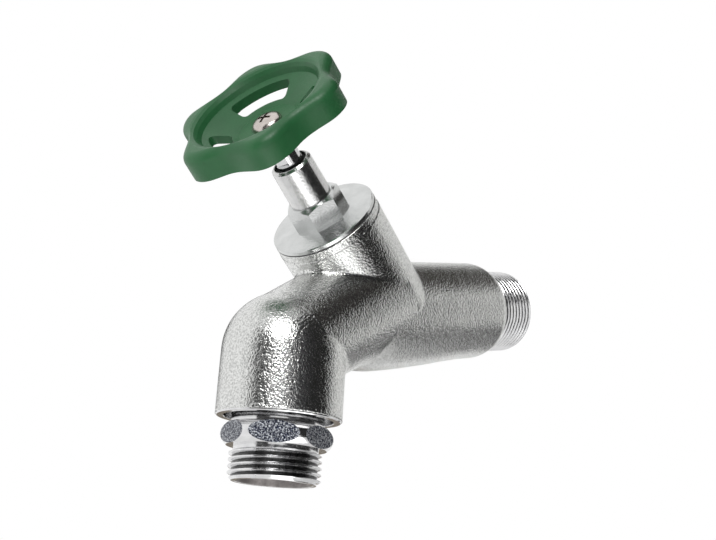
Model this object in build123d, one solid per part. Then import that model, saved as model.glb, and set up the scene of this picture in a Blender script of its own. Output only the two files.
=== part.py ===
from build123d import *
from math import cos, pi, radians, sin
import os

# Bib tap with an inclined bonnet, in millimetres.
# The origin is the centre of the inlet's end face. The inlet axis runs along Y, and the
# tap reaches from there towards -Y. +Z is up. Three frames carry the pieces:
#   inlet_frame   local z runs into the tap from the inlet's end face, local y is up
#   bonnet_frame  local z runs up the spindle, local 0 is where its axis meets the inlet's
#   outlet_frame  local z runs down out of the spout, local 0 is level with the inlet axis

# Overall layout
BONNET_CROSSING = 67.5      # inlet end face to the point where the spindle axis crosses
BONNET_TILT = 41.0          # degrees that the spindle leans forward from the vertical
OUTLET_DISTANCE = 110.9     # inlet end face to the outlet axis, at the inlet's height
OUTLET_TILT = 12.0          # degrees that the outlet points forward of straight down

# Named clearances
RUNNING_GAP = 0.05          # radial gap of threads, slides and turning fits
FACE_GAP = 0.03             # gap between two flat faces that rest on each other

# Casting
THREAD_RADIUS = 13.22       # G3/4 male thread, used on the inlet and on the outlet
INLET_THREAD_LENGTH = 17.3
INLET_BORE = 9.3            # machined bore of the threaded end
INLET_WAY = 11.8            # cored way from there to under the seat
INLET_WAY_END = 63.0        # distance from the end face to the centre of its round end
TUBE_RADIUS = 15.8
TUBE_END_RADIUS = 15.6      # the tube tapers a little towards the inlet
SHOULDER_LENGTH = 4.5       # length of the rounded shoulder behind the inlet thread
NECK_ROOT_RADIUS = 16.0
NECK_TOP_RADIUS = 16.6
NECK_TOP = 36.0             # height of the machined face that the bonnet's seal lies on
NECK_BAND_HEIGHT = 2.4      # machined band below that face
NECK_BAND_CUT = 0.25        # depth that the band is turned below the cast skin
CHAMBER_RADIUS = 12.3
CHAMBER_FLOOR = 3.0
PARTITION_UNDERSIDE = -0.3
SEAT_TOP = 4.0
SEAT_OUTER = 9.6
SEAT_BORE = 8.0
SEAT_THROAT_DEPTH = 7.0
SNOUT_START = 5.6           # height on the spindle axis where the snout's axis begins
SNOUT_ROOT_RADIUS = 16.8
SNOUT_END_RADIUS = 17.4     # half its width there, a little under the spout's
SNOUT_END_FLATTEN = 4.6     # how much lower than wide the snout is there, all off its underside
SNOUT_BORE = 11.0
SNOUT_BORE_START = 8.8      # distance along the snout's axis where its bore begins
BELLY_DROP = 1.9            # how much lower the casting hangs below the chamber
BELLY_REACH = 17.0          # length of the belly along the inlet axis, each way
BELLY_SHIFT = 6.5           # from the spindle's crossing to the belly's middle
KNEE_DEPTH = 11.6           # outlet_frame height of the centre of the knee
SPOUT_RADIUS = 17.95
SPOUT_END = 30.4
SPOUT_LIP_HEIGHT = 0.9      # machined lip at the spout's mouth
SPOUT_LIP_CUT = 0.35
SPOUT_COUNTERBORE = 15.6
SPOUT_COUNTERBORE_DEPTH = 3.2
SPOUT_BORE = 12.2
CREASE_FILLET = 1.6         # where the neck's front meets the snout
CREASE_HEIGHT = 15.0        # bonnet_frame height of that crease at mid-plane
THROAT_FILLET = 2.5         # under the snout, where the spout turns down

# Bonnet that carries the spindle
SEAL_THICKNESS = 0.5
BONNET_THREAD_RADIUS = 12.0
BONNET_THREAD_LENGTH = 9.5
FLANGE_RADIUS = 16.4
FLANGE_EDGE = 1.0           # height of the flange's turned edge
FLANGE_CONE = 1.1           # rise of the conical top between the edge and the hexagon
BONNET_HEX = 15.0           # across flats
BONNET_HEX_HEIGHT = 6.9
BONNET_HEX_TURN = -8.5      # degrees that its first corner is turned from the side
BONNET_HEX_CHAMFER = 1.5    # height of the chamfer at its corners
GUIDE_LOW = 20.0            # lower end of the skirt that guides the disc holder
GUIDE_OUTER = 11.5
HOLDER_RADIUS = 8.4
HOLDER_FLAT = 7.0           # distance of its two guiding flats from the axis
COLLAR_LOW = 33.3
COLLAR_HEIGHT = 2.0
COLLAR_RADIUS = 6.8
THRUST_WASHER_HEIGHT = 1.0
SLEEVE_SHANK_RADIUS = 5.4
SLEEVE_SHANK_LENGTH = 5.2
SLEEVE_FOOT_RADIUS = 6.4
SLEEVE_TOP_RADIUS = 6.25
SLEEVE_TOP = 58.4
SLEEVE_BEVEL = 0.7
SLEEVE_POCKET_RADIUS = 5.2
SLEEVE_POCKET_DEPTH = 2.2

# Spindle
STEM_RADIUS = 4.0
STEM_THREAD_RADIUS = 5.0
STEM_THREAD_LOW = 19.0
STEM_TOP = 70.6
DRIVE_LOW = 58.9            # where the two driving flats start
DRIVE_FLAT = 3.2            # distance of a driving flat from the axis
RING_GROOVE_FLOOR = 2.95
RING_GROOVE_WIDTH = 1.4
RING_GROOVES = (49.5, 53.0)
RING_WIRE = 0.53            # radius of the sealing rings' section
SNAP_GROOVE_FLOOR = 3.4
SNAP_RING_LOW = 56.6
SNAP_RING_HEIGHT = 0.8
SNAP_RING_OUTER = 5.0
SCREW_HOLE_RADIUS = 2.5
SCREW_HOLE_DEPTH = 10.5

# Disc and its holder
DISC_RADIUS = 9.9
DISC_HEIGHT = 3.35
HOLDER_FLANGE_RADIUS = 10.9
HOLDER_SKIRT = 1.8          # depth that the holder's rim reaches down round the disc
HOLDER_FLANGE_TOP = 10.2
HOLDER_TOP = 26.8
HOLDER_BORE_LOW = 12.0
DISC_SCREW_RADIUS = 1.95
DISC_SCREW_HEAD_RADIUS = 3.9
DISC_SCREW_HEAD_HEIGHT = 2.1
DISC_SCREW_LENGTH = 7.4

# Handwheel and its screw
WHEEL_MEAN_RADIUS = 24.75
WHEEL_LOBE = 2.15           # how far the six lobes swing about the mean radius
WHEEL_LOBES = 6
WHEEL_TURN = 4.4            # degrees from the side to the first lobe
HUB_OVER_STEM = 1.7         # the hub's face above the spindle's end
WHEEL_RISE = 7.8            # the wheel's top above the hub's face
WHEEL_HEIGHT = 8.5          # of the rim, from its open lower edge to its top
WHEEL_EDGE_ROUND = 3.0
WHEEL_WALL = 2.2
RECESS_RADIUS = 19.5
RECESS_EDGE_DEPTH = 1.8     # the recess's edge below the wheel's top
RECESS_LIP = 2.4            # width of the rounded slope from that edge up to the top
RECESS_WALL = 1.5           # height of the steep wall under that edge
WEB_RADIUS = 18.9           # where the web meets the steep wall
WEB_RISE = 3.9              # rise of the web's cone from the hub outwards
WEB_THICKNESS = 2.8
HUB_EDGE_RADIUS = 10.3
HUB_FACE_RADIUS = 9.2
HUB_THICKNESS = 3.0
HUB_BOSS_RADIUS = 7.2
HUB_BOSS_LENGTH = 8.4       # from the hub's face down
WINDOWS = 3
WINDOW_TURN = 123.5         # degrees from the side to the middle of the first window
WINDOW_HALF_SPAN = 36.5
WINDOW_INNER = 11.0
WINDOW_OUTER = 17.1
WINDOW_CORNER = 1.5
SCREW_HEAD_RADIUS = 4.75
SCREW_HEAD_EDGE = 0.5
SCREW_HEAD_DOME = 1.7
SCREW_SHANK_RADIUS = 2.45
SCREW_LENGTH = 9.5
SCREW_CROSS_WIDTH = 0.95
SCREW_CROSS_LENGTH = 4.6
SCREW_CROSS_DEPTH = 1.5

# Outlet nipple
NIPPLE_TOP = 14.5
NIPPLE_BODY_THREAD_RADIUS = 13.0
NIPPLE_BODY_THREAD_LOW = 21.0
NIPPLE_COLLAR_RADIUS = 13.2
NIPPLE_HEX = 28.5           # across flats
NIPPLE_HEX_LOW = 32.4
NIPPLE_HEX_HEIGHT = 6.2
NIPPLE_HEX_TURN = 22.7      # degrees that its first corner is turned from the side
NIPPLE_HEX_CORNER = 16.35   # radius that the corners are turned down to
NIPPLE_RELIEF_RADIUS = 12.05
NIPPLE_RELIEF_LENGTH = 1.0
NIPPLE_END = 48.4
NIPPLE_END_CHAMFER = 1.2
NIPPLE_MOUTH = 10.02        # radius of the bore at the outlet
NIPPLE_MOUTH_LENGTH = 9.0
NIPPLE_MOUTH_CHAMFER = 0.4
CARTRIDGE_LEDGE_RADIUS = 8.8
CARTRIDGE_LEDGE_HEIGHT = 2.0
NIPPLE_RING_HEIGHT = 23.4
NIPPLE_RING_WIRE = 0.66
NIPPLE_RING_GROOVE_FLOOR = 11.9
NIPPLE_RING_GROOVE_WIDTH = 1.8

# Backflow check in the nipple
CARTRIDGE_RADIUS = 9.95
CARTRIDGE_TOP = 17.4
CARTRIDGE_INNER = 8.5
CHECK_SEAT_RADIUS = 6.0
CHECK_SEAT_LOW = 20.6
CHECK_RING_HEIGHT = 27.5
CHECK_RING_WIRE = 0.37
CHECK_RING_GROOVE_FLOOR = 9.2
CHECK_RING_GROOVE_WIDTH = 1.0
POPPET_RADIUS = 7.3
POPPET_HEAD_HEIGHT = 1.8
POPPET_STEM_RADIUS = 1.5
POPPET_STEM_END = 36.6
POPPET_SEAL_INNER = 5.0
POPPET_SEAL_HEIGHT = 0.7
GUIDE_RING_LOW = 35.3       # underside of the spider that guides the poppet's stem
GUIDE_RING_HEIGHT = 2.0
GUIDE_RING_INNER = 7.3
GUIDE_HUB_RADIUS = 3.0
GUIDE_SPOKES = 3
GUIDE_SPOKE_WIDTH = 1.4
SPRING_WIRE = 0.3           # radius over the wire's corners
SPRING_COIL_RADIUS = 4.2
SPRING_TURNS = 5

inlet_frame = Plane(origin=(0, 0, 0), x_dir=(1, 0, 0), z_dir=(0, -1, 0))
bonnet_frame = Plane(
    origin=(0, -BONNET_CROSSING, 0),
    x_dir=(1, 0, 0),
    z_dir=(0, -sin(radians(BONNET_TILT)), cos(radians(BONNET_TILT))),
)
outlet_frame = Plane(
    origin=(0, -OUTLET_DISTANCE, 0),
    x_dir=(1, 0, 0),
    z_dir=(0, -sin(radians(OUTLET_TILT)), -cos(radians(OUTLET_TILT))),
)


# Plain shapes that the pieces share
def turned(points):
    """A solid turned about local z from (radius, height) corners."""
    profile = Polyline(*[(r, 0, z) for r, z in points], close=True)
    return revolve(make_face(profile), Axis.Z)


def tube(outer, inner, low, high):
    return turned([(inner, low), (outer, low), (outer, high), (inner, high)])


def rod(radius, low, high):
    return Pos(0, 0, low) * Cylinder(radius, high - low, align=(Align.CENTER, Align.CENTER, Align.MIN))


def slab(width, depth, low, high):
    return Pos(0, 0, low) * Box(width, depth, high - low, align=(Align.CENTER, Align.CENTER, Align.MIN))


def flatted_rod(radius, flat, low, high):
    """A rod with two flats, flat being their distance from the axis."""
    return rod(radius, low, high) & slab(4 * radius, 2 * flat, low, high)


def hex_bar(across_flats, turn, low, high):
    """A hexagonal bar whose first corner is turned from local x."""
    corner_radius = across_flats / 2 / cos(pi / 6)
    hexagon = Rot(0, 0, turn) * RegularPolygon(corner_radius, 6)
    return Pos(0, 0, low) * extrude(hexagon, high - low)


def seal_ring(wire, centre_radius, height):
    """A sealing ring, hidden in its groove, with an octagonal section in place of a round one."""
    corners = []
    for step in range(8):
        angle = 2 * pi * (step + 0.5) / 8
        corners.append((centre_radius + wire * cos(angle), height + wire * sin(angle)))
    return turned(corners)


# Casting
def knee_point():
    return outlet_frame.from_local_coords((0, 0, KNEE_DEPTH))


def snout_frame():
    """Local z runs from the spindle's axis down the snout to the knee."""
    start = bonnet_frame.from_local_coords((0, 0, SNOUT_START))
    return Plane(origin=start, x_dir=(1, 0, 0), z_dir=knee_point() - start)


def inlet_tube():
    """The inlet's threaded end, its rounded shoulder and the plain tube."""
    shoulder_end = INLET_THREAD_LENGTH + SHOULDER_LENGTH
    taper_end = (shoulder_end + BONNET_CROSSING) / 2
    edges = [
        Line((0, 0, 0), (THREAD_RADIUS, 0, 0)),
        Line((THREAD_RADIUS, 0, 0), (THREAD_RADIUS, 0, INLET_THREAD_LENGTH)),
        Spline(
            (THREAD_RADIUS, 0, INLET_THREAD_LENGTH),
            (TUBE_END_RADIUS, 0, shoulder_end),
            tangents=((1, 0, 0), (0, 0, 1)),
        ),
        Line((TUBE_END_RADIUS, 0, shoulder_end), (TUBE_RADIUS, 0, taper_end)),
        Line((TUBE_RADIUS, 0, taper_end), (TUBE_RADIUS, 0, BONNET_CROSSING)),
        Line((TUBE_RADIUS, 0, BONNET_CROSSING), (0, 0, BONNET_CROSSING)),
        Line((0, 0, BONNET_CROSSING), (0, 0, 0)),
    ]
    return inlet_frame.location * revolve(make_face(edges), Axis.Z)


def chamber_belly():
    """The rounded end of the tube under the spindle, hanging a little lower than it."""
    belly = scale(Sphere(TUBE_RADIUS), (1, (TUBE_RADIUS + BELLY_REACH) / TUBE_RADIUS, 1))
    return Pos(0, -BONNET_CROSSING - BELLY_SHIFT, -BELLY_DROP) * belly


def crease_at(shape, point):
    """The long edge that passes nearest to a point."""
    return shape.edges().filter_by(lambda edge: edge.length > TUBE_RADIUS).sort_by_distance(point)[0]


def snout_and_spout():
    """The bent front of the casting, with its throat rounded."""
    snout = snout_frame()
    snout_length = (knee_point() - snout.origin).length
    end_rise = SNOUT_END_FLATTEN / 2
    end_oval = Pos(0, end_rise, snout_length) * Ellipse(SNOUT_END_RADIUS, SNOUT_END_RADIUS - end_rise)
    snout_skin = loft([Circle(SNOUT_ROOT_RADIUS), end_oval], ruled=True)
    spout = rod(SPOUT_RADIUS, KNEE_DEPTH, SPOUT_END) + Pos(0, 0, KNEE_DEPTH) * Sphere(SPOUT_RADIUS)
    bend = snout.location * snout_skin + outlet_frame.location * spout
    joints = []
    for edge in bend.edges():
        touching = [face for face in bend.faces() if any(edge.is_same(side) for side in face.edges())]
        kinds = [face.geom_type for face in touching]
        if GeomType.BSPLINE in kinds and (GeomType.SPHERE in kinds or GeomType.CYLINDER in kinds):
            joints.append(edge)
    return fillet(joints, THROAT_FILLET)


def casting_outside():
    neck = turned([(0, 0), (NECK_ROOT_RADIUS, 0), (NECK_TOP_RADIUS, NECK_TOP), (0, NECK_TOP)])
    body = inlet_tube() + chamber_belly() + snout_and_spout()
    body += bonnet_frame.location * neck
    crease = bonnet_frame.from_local_coords((0, -NECK_ROOT_RADIUS, CREASE_HEIGHT))
    return fillet(crease_at(body, crease), CREASE_FILLET)


def casting_hollow():
    """All the water ways, the two machined threads and the seat."""
    snout = snout_frame()
    snout_length = (knee_point() - snout.origin).length
    reach = 2 * BONNET_CROSSING
    inlet_way = turned([
        (0, 0),
        (INLET_BORE, 0),
        (INLET_BORE, INLET_THREAD_LENGTH),
        (INLET_WAY, INLET_THREAD_LENGTH + SHOULDER_LENGTH),
        (INLET_WAY, INLET_WAY_END),
        (0, INLET_WAY_END),
    ])
    inlet_way = inlet_frame.location * (inlet_way + Pos(0, 0, INLET_WAY_END) * Sphere(INLET_WAY))
    above_partition = bonnet_frame.location * slab(reach, reach, PARTITION_UNDERSIDE, reach)
    inlet_way -= above_partition
    throat = bonnet_frame.location * rod(SEAT_BORE, -SEAT_THROAT_DEPTH, SEAT_TOP)
    chamber = rod(CHAMBER_RADIUS, CHAMBER_FLOOR, NECK_TOP - BONNET_THREAD_LENGTH - 0.5)
    chamber -= tube(SEAT_OUTER, SEAT_BORE, CHAMBER_FLOOR, SEAT_TOP)
    chamber += rod(BONNET_THREAD_RADIUS + RUNNING_GAP, SEAT_TOP, NECK_TOP)
    snout_way = snout.location * rod(SNOUT_BORE, SNOUT_BORE_START, snout_length)
    body_thread = NIPPLE_BODY_THREAD_RADIUS + RUNNING_GAP
    collar_bore = NIPPLE_COLLAR_RADIUS + RUNNING_GAP
    counterbore_low = SPOUT_END - SPOUT_COUNTERBORE_DEPTH
    outlet_way = Pos(0, 0, KNEE_DEPTH) * Sphere(SPOUT_BORE)
    outlet_way += turned([
        (0, KNEE_DEPTH),
        (SPOUT_BORE, KNEE_DEPTH),
        (SPOUT_BORE, NIPPLE_TOP - 1),
        (body_thread, NIPPLE_TOP - 1),
        (body_thread, NIPPLE_BODY_THREAD_LOW),
        (collar_bore, NIPPLE_BODY_THREAD_LOW),
        (collar_bore, counterbore_low),
        (SPOUT_COUNTERBORE, counterbore_low),
        (SPOUT_COUNTERBORE, SPOUT_END),
        (0, SPOUT_END),
    ])
    hollow = inlet_way + throat + bonnet_frame.location * chamber
    return hollow + snout_way + outlet_frame.location * outlet_way


def machining():
    """What the lathe takes off the casting's neck and mouth."""
    band = tube(
        NECK_TOP_RADIUS + 1, NECK_TOP_RADIUS - NECK_BAND_CUT, NECK_TOP - NECK_BAND_HEIGHT, NECK_TOP
    )
    lip = turned([
        (SPOUT_RADIUS + 1, SPOUT_END - SPOUT_LIP_HEIGHT),
        (SPOUT_RADIUS, SPOUT_END - SPOUT_LIP_HEIGHT),
        (SPOUT_RADIUS - SPOUT_LIP_CUT, SPOUT_END),
        (SPOUT_RADIUS + 1, SPOUT_END),
    ])
    return bonnet_frame.location * band + outlet_frame.location * lip


def tap_body():
    return casting_outside() - casting_hollow() - machining()


# Bonnet, sleeve and spindle
flange_low = NECK_TOP + SEAL_THICKNESS
hex_low = flange_low + FLANGE_EDGE + FLANGE_CONE
hex_top = hex_low + BONNET_HEX_HEIGHT
washer_low = COLLAR_LOW + COLLAR_HEIGHT + FACE_GAP
socket_low = hex_top - SLEEVE_SHANK_LENGTH - 0.1
stem_bore = STEM_RADIUS + RUNNING_GAP


def bonnet_seal():
    outer = NECK_TOP_RADIUS - NECK_BAND_CUT
    return tube(outer, BONNET_THREAD_RADIUS + 0.3, NECK_TOP, flange_low)


def bonnet():
    corner = BONNET_HEX / 2 / cos(pi / 6)
    chamfer_cone = turned([
        (0, hex_low - 1),
        (corner + 1, hex_low - 1),
        (corner + 1, hex_top - BONNET_HEX_CHAMFER - 1 / 2),
        (BONNET_HEX / 2 - 0.6, hex_top),
        (0, hex_top),
    ])
    shank_low = flange_low - BONNET_THREAD_LENGTH
    flange = turned([
        (0, GUIDE_LOW),
        (GUIDE_OUTER, GUIDE_LOW),
        (GUIDE_OUTER, shank_low),
        (BONNET_THREAD_RADIUS, shank_low + 0.5),
        (BONNET_THREAD_RADIUS, flange_low),
        (FLANGE_RADIUS, flange_low),
        (FLANGE_RADIUS, flange_low + FLANGE_EDGE),
        (FLANGE_RADIUS - 0.35, flange_low + FLANGE_EDGE + 0.2),
        (corner + 1.0, hex_low),
        (0, hex_low),
    ])
    outside = flange + (hex_bar(BONNET_HEX, BONNET_HEX_TURN, hex_low - 0.5, hex_top) & chamfer_cone)
    guide_bore = flatted_rod(
        HOLDER_RADIUS + RUNNING_GAP, HOLDER_FLAT + RUNNING_GAP, GUIDE_LOW, COLLAR_LOW - 0.3
    )
    collar_space = rod(COLLAR_RADIUS + 0.2, COLLAR_LOW - 0.3, washer_low + THRUST_WASHER_HEIGHT + FACE_GAP)
    return (
        outside
        - guide_bore
        - collar_space
        - rod(stem_bore, COLLAR_LOW, hex_top)
        - rod(SLEEVE_SHANK_RADIUS + RUNNING_GAP, socket_low, hex_top)
    )


def gland_sleeve():
    foot = hex_top + FACE_GAP
    pocket_low = SLEEVE_TOP - SLEEVE_POCKET_DEPTH
    return turned([
        (stem_bore, foot - SLEEVE_SHANK_LENGTH),
        (SLEEVE_SHANK_RADIUS, foot - SLEEVE_SHANK_LENGTH),
        (SLEEVE_SHANK_RADIUS, foot),
        (SLEEVE_FOOT_RADIUS, foot),
        (SLEEVE_TOP_RADIUS, SLEEVE_TOP - SLEEVE_BEVEL),
        (SLEEVE_TOP_RADIUS - SLEEVE_BEVEL, SLEEVE_TOP),
        (SLEEVE_POCKET_RADIUS, SLEEVE_TOP),
        (SLEEVE_POCKET_RADIUS, pocket_low),
        (stem_bore, pocket_low),
    ])


def thrust_washer():
    return tube(COLLAR_RADIUS, STEM_RADIUS + 2 * RUNNING_GAP, washer_low, washer_low + THRUST_WASHER_HEIGHT)


def spindle():
    stem = rod(STEM_THREAD_RADIUS, STEM_THREAD_LOW, COLLAR_LOW)
    stem += rod(COLLAR_RADIUS, COLLAR_LOW, COLLAR_LOW + COLLAR_HEIGHT)
    stem += rod(STEM_RADIUS, COLLAR_LOW, DRIVE_LOW)
    stem += flatted_rod(STEM_RADIUS - 0.1, DRIVE_FLAT, DRIVE_LOW, STEM_TOP)
    for height in RING_GROOVES:
        half = RING_GROOVE_WIDTH / 2
        stem -= tube(STEM_RADIUS + 1, RING_GROOVE_FLOOR, height - half, height + half)
    snap_high = SNAP_RING_LOW + SNAP_RING_HEIGHT
    stem -= tube(STEM_RADIUS + 1, SNAP_GROOVE_FLOOR, SNAP_RING_LOW - FACE_GAP, snap_high + FACE_GAP)
    return stem - rod(SCREW_HOLE_RADIUS, STEM_TOP - SCREW_HOLE_DEPTH, STEM_TOP)


def stem_ring(height):
    return seal_ring(RING_WIRE, RING_GROOVE_FLOOR + RING_WIRE + 0.02, height)


def spindle_snap_ring():
    ring = tube(SNAP_RING_OUTER, SNAP_GROOVE_FLOOR, SNAP_RING_LOW, SNAP_RING_LOW + SNAP_RING_HEIGHT)
    mouth = Pos(0, SNAP_RING_OUTER, SNAP_RING_LOW) * Box(
        1.6, 2 * SNAP_RING_OUTER, 4, align=(Align.CENTER, Align.CENTER, Align.CENTER)
    )
    return ring - mouth


# Disc and its holder
disc_low = SEAT_TOP + FACE_GAP
disc_high = disc_low + DISC_HEIGHT


def disc_washer():
    return tube(DISC_RADIUS, DISC_SCREW_RADIUS + RUNNING_GAP, disc_low, disc_high)


def disc_holder():
    skirt_low = disc_high - HOLDER_SKIRT
    outside = turned([
        (0, disc_high),
        (DISC_RADIUS + RUNNING_GAP, disc_high),
        (DISC_RADIUS + RUNNING_GAP, skirt_low),
        (HOLDER_FLANGE_RADIUS, skirt_low),
        (HOLDER_FLANGE_RADIUS, HOLDER_FLANGE_TOP - 1),
        (HOLDER_FLANGE_RADIUS - 1, HOLDER_FLANGE_TOP),
        (0, HOLDER_FLANGE_TOP),
    ])
    outside += flatted_rod(HOLDER_RADIUS, HOLDER_FLAT, HOLDER_FLANGE_TOP, HOLDER_TOP)
    nut_bore = rod(STEM_THREAD_RADIUS + RUNNING_GAP, HOLDER_BORE_LOW, HOLDER_TOP)
    return outside - nut_bore - rod(DISC_SCREW_RADIUS + RUNNING_GAP, disc_high, HOLDER_BORE_LOW)


def disc_screw():
    head_low = disc_low - DISC_SCREW_HEAD_HEIGHT
    head = turned([
        (0, head_low),
        (DISC_SCREW_HEAD_RADIUS - 1, head_low),
        (DISC_SCREW_HEAD_RADIUS, head_low + 1),
        (DISC_SCREW_HEAD_RADIUS, disc_low),
        (0, disc_low),
    ])
    slot = slab(1.0, 4 * DISC_SCREW_HEAD_RADIUS, head_low - 1, head_low + 0.9)
    return head + rod(DISC_SCREW_RADIUS, disc_low, disc_low + DISC_SCREW_LENGTH) - slot


# Handwheel and its screw
hub_face = STEM_TOP + HUB_OVER_STEM
hub_boss_low = hub_face - HUB_BOSS_LENGTH
wheel_top = hub_face + WHEEL_RISE
wheel_bottom = wheel_top - WHEEL_HEIGHT
recess_edge = wheel_top - RECESS_EDGE_DEPTH
web_outer = recess_edge - RECESS_WALL
web_inner = web_outer - WEB_RISE


def lobed_outline(inset):
    """The wheel's six-lobed outline, set in from its outside."""
    steps = 4 * WHEEL_LOBES
    points = []
    for step in range(steps):
        angle = 2 * pi * step / steps
        swing = WHEEL_LOBE * cos(WHEEL_LOBES * (angle - radians(WHEEL_TURN)))
        radius = WHEEL_MEAN_RADIUS - inset + swing
        points.append((radius * cos(angle), radius * sin(angle)))
    return make_face(Spline(*points, periodic=True))


def wheel_window(angle):
    """One arc-shaped window, as a cutter through the web."""
    sector_reach = 2 * WHEEL_MEAN_RADIUS
    spread = sector_reach * sin(radians(WINDOW_HALF_SPAN)) / cos(radians(WINDOW_HALF_SPAN))
    sector = make_face(Polyline((0, 0), (sector_reach, -spread), (sector_reach, spread), close=True))
    band = Circle(WINDOW_OUTER) - Circle(WINDOW_INNER)
    window = band & sector
    window = fillet(window.vertices(), WINDOW_CORNER)
    cutter = extrude(window, wheel_top - hub_boss_low)
    return Rot(0, 0, angle) * Pos(0, 0, hub_boss_low) * cutter


def handwheel():
    rim = Pos(0, 0, wheel_bottom) * extrude(lobed_outline(0), WHEEL_HEIGHT)
    rim = fillet(rim.edges().group_by(Axis.Z)[-1], WHEEL_EDGE_ROUND)
    ceiling = wheel_top - WHEEL_WALL
    rim -= Pos(0, 0, wheel_bottom) * extrude(lobed_outline(WHEEL_WALL), ceiling - wheel_bottom)
    rim_overlap = RECESS_RADIUS + 1
    web_slope = WEB_RISE / (WEB_RADIUS - HUB_EDGE_RADIUS)
    underside = web_outer + web_slope * (rim_overlap - WEB_RADIUS) - WEB_THICKNESS
    web = turned([
        (0, hub_boss_low),
        (HUB_BOSS_RADIUS, hub_boss_low),
        (HUB_BOSS_RADIUS, hub_face - HUB_THICKNESS),
        (HUB_FACE_RADIUS, hub_face - HUB_THICKNESS),
        (HUB_EDGE_RADIUS, web_inner - WEB_THICKNESS),
        (rim_overlap, underside),
        (rim_overlap, wheel_top - WHEEL_EDGE_ROUND),
        (RECESS_RADIUS, wheel_top),
        (0, wheel_top),
    ])
    recess = turned([
        (0, hub_face),
        (HUB_FACE_RADIUS, hub_face),
        (HUB_EDGE_RADIUS, web_inner),
        (WEB_RADIUS, web_outer),
        (RECESS_RADIUS, recess_edge),
        (RECESS_RADIUS + 0.3 * RECESS_LIP, recess_edge + 0.6 * RECESS_EDGE_DEPTH),
        (RECESS_RADIUS + 0.65 * RECESS_LIP, recess_edge + 0.9 * RECESS_EDGE_DEPTH),
        (RECESS_RADIUS + RECESS_LIP, wheel_top),
        (RECESS_RADIUS + RECESS_LIP, wheel_top + 1),
        (0, wheel_top + 1),
    ])
    wheel = rim + web - recess
    for index in range(WINDOWS):
        wheel -= wheel_window(WINDOW_TURN + index * 360 / WINDOWS)
    drive_radius = STEM_RADIUS - 0.1 + RUNNING_GAP
    drive = flatted_rod(drive_radius, DRIVE_FLAT + RUNNING_GAP, hub_boss_low, STEM_TOP)
    return wheel - drive - rod(SCREW_SHANK_RADIUS + RUNNING_GAP, STEM_TOP, hub_face)


def wheel_screw():
    low = hub_face + FACE_GAP
    edge = low + SCREW_HEAD_EDGE
    crown = edge + SCREW_HEAD_DOME
    profile = [
        Line((0, 0, low), (SCREW_HEAD_RADIUS, 0, low)),
        Line((SCREW_HEAD_RADIUS, 0, low), (SCREW_HEAD_RADIUS, 0, edge)),
        Spline(
            (SCREW_HEAD_RADIUS, 0, edge),
            (0, 0, crown),
            tangents=((-0.45, 0, 1), (-1, 0, 0)),
        ),
        Line((0, 0, crown), (0, 0, low)),
    ]
    head = revolve(make_face(profile), Axis.Z)
    cross_low = crown - SCREW_CROSS_DEPTH
    cross = slab(SCREW_CROSS_WIDTH, SCREW_CROSS_LENGTH, cross_low, crown + 1)
    cross += slab(SCREW_CROSS_LENGTH, SCREW_CROSS_WIDTH, cross_low, crown + 1)
    return head - cross + rod(SCREW_SHANK_RADIUS, low - SCREW_LENGTH, low)


# Outlet nipple
cartridge_low = NIPPLE_END - NIPPLE_MOUTH_LENGTH - CARTRIDGE_LEDGE_HEIGHT
cartridge_bore = CARTRIDGE_RADIUS + RUNNING_GAP


def outlet_nipple():
    hex_end = NIPPLE_HEX_LOW + NIPPLE_HEX_HEIGHT
    hex_middle = (NIPPLE_HEX_LOW + hex_end) / 2
    barrel = turned([
        (0, NIPPLE_HEX_LOW),
        (NIPPLE_HEX / 2, NIPPLE_HEX_LOW),
        (NIPPLE_HEX_CORNER, hex_middle - 0.3),
        (NIPPLE_HEX_CORNER, hex_middle + 0.3),
        (NIPPLE_HEX / 2, hex_end),
        (0, hex_end),
    ])
    hexagon = hex_bar(NIPPLE_HEX, NIPPLE_HEX_TURN, NIPPLE_HEX_LOW, hex_end) & barrel
    relief_end = hex_end + NIPPLE_RELIEF_LENGTH
    outside = turned([
        (0, NIPPLE_TOP),
        (NIPPLE_BODY_THREAD_RADIUS - 1, NIPPLE_TOP),
        (NIPPLE_BODY_THREAD_RADIUS, NIPPLE_TOP + 1),
        (NIPPLE_BODY_THREAD_RADIUS, NIPPLE_BODY_THREAD_LOW + FACE_GAP),
        (NIPPLE_COLLAR_RADIUS, NIPPLE_BODY_THREAD_LOW + FACE_GAP),
        (NIPPLE_COLLAR_RADIUS, NIPPLE_HEX_LOW),
        (NIPPLE_RELIEF_RADIUS, NIPPLE_HEX_LOW),
        (NIPPLE_RELIEF_RADIUS, relief_end),
        (THREAD_RADIUS, relief_end + THREAD_RADIUS - NIPPLE_RELIEF_RADIUS),
        (THREAD_RADIUS, NIPPLE_END - NIPPLE_END_CHAMFER),
        (THREAD_RADIUS - NIPPLE_END_CHAMFER, NIPPLE_END),
        (0, NIPPLE_END),
    ])
    half_groove = NIPPLE_RING_GROOVE_WIDTH / 2
    ring_groove = tube(
        NIPPLE_COLLAR_RADIUS + 1,
        NIPPLE_RING_GROOVE_FLOOR,
        NIPPLE_RING_HEIGHT - half_groove,
        NIPPLE_RING_HEIGHT + half_groove,
    )
    way = turned([
        (0, NIPPLE_TOP),
        (cartridge_bore, NIPPLE_TOP),
        (cartridge_bore, cartridge_low),
        (CARTRIDGE_LEDGE_RADIUS, cartridge_low),
        (CARTRIDGE_LEDGE_RADIUS, cartridge_low + CARTRIDGE_LEDGE_HEIGHT),
        (NIPPLE_MOUTH, cartridge_low + CARTRIDGE_LEDGE_HEIGHT),
        (NIPPLE_MOUTH, NIPPLE_END - NIPPLE_MOUTH_CHAMFER),
        (NIPPLE_MOUTH + NIPPLE_MOUTH_CHAMFER, NIPPLE_END),
        (0, NIPPLE_END),
    ])
    return outside + hexagon - ring_groove - way


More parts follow.
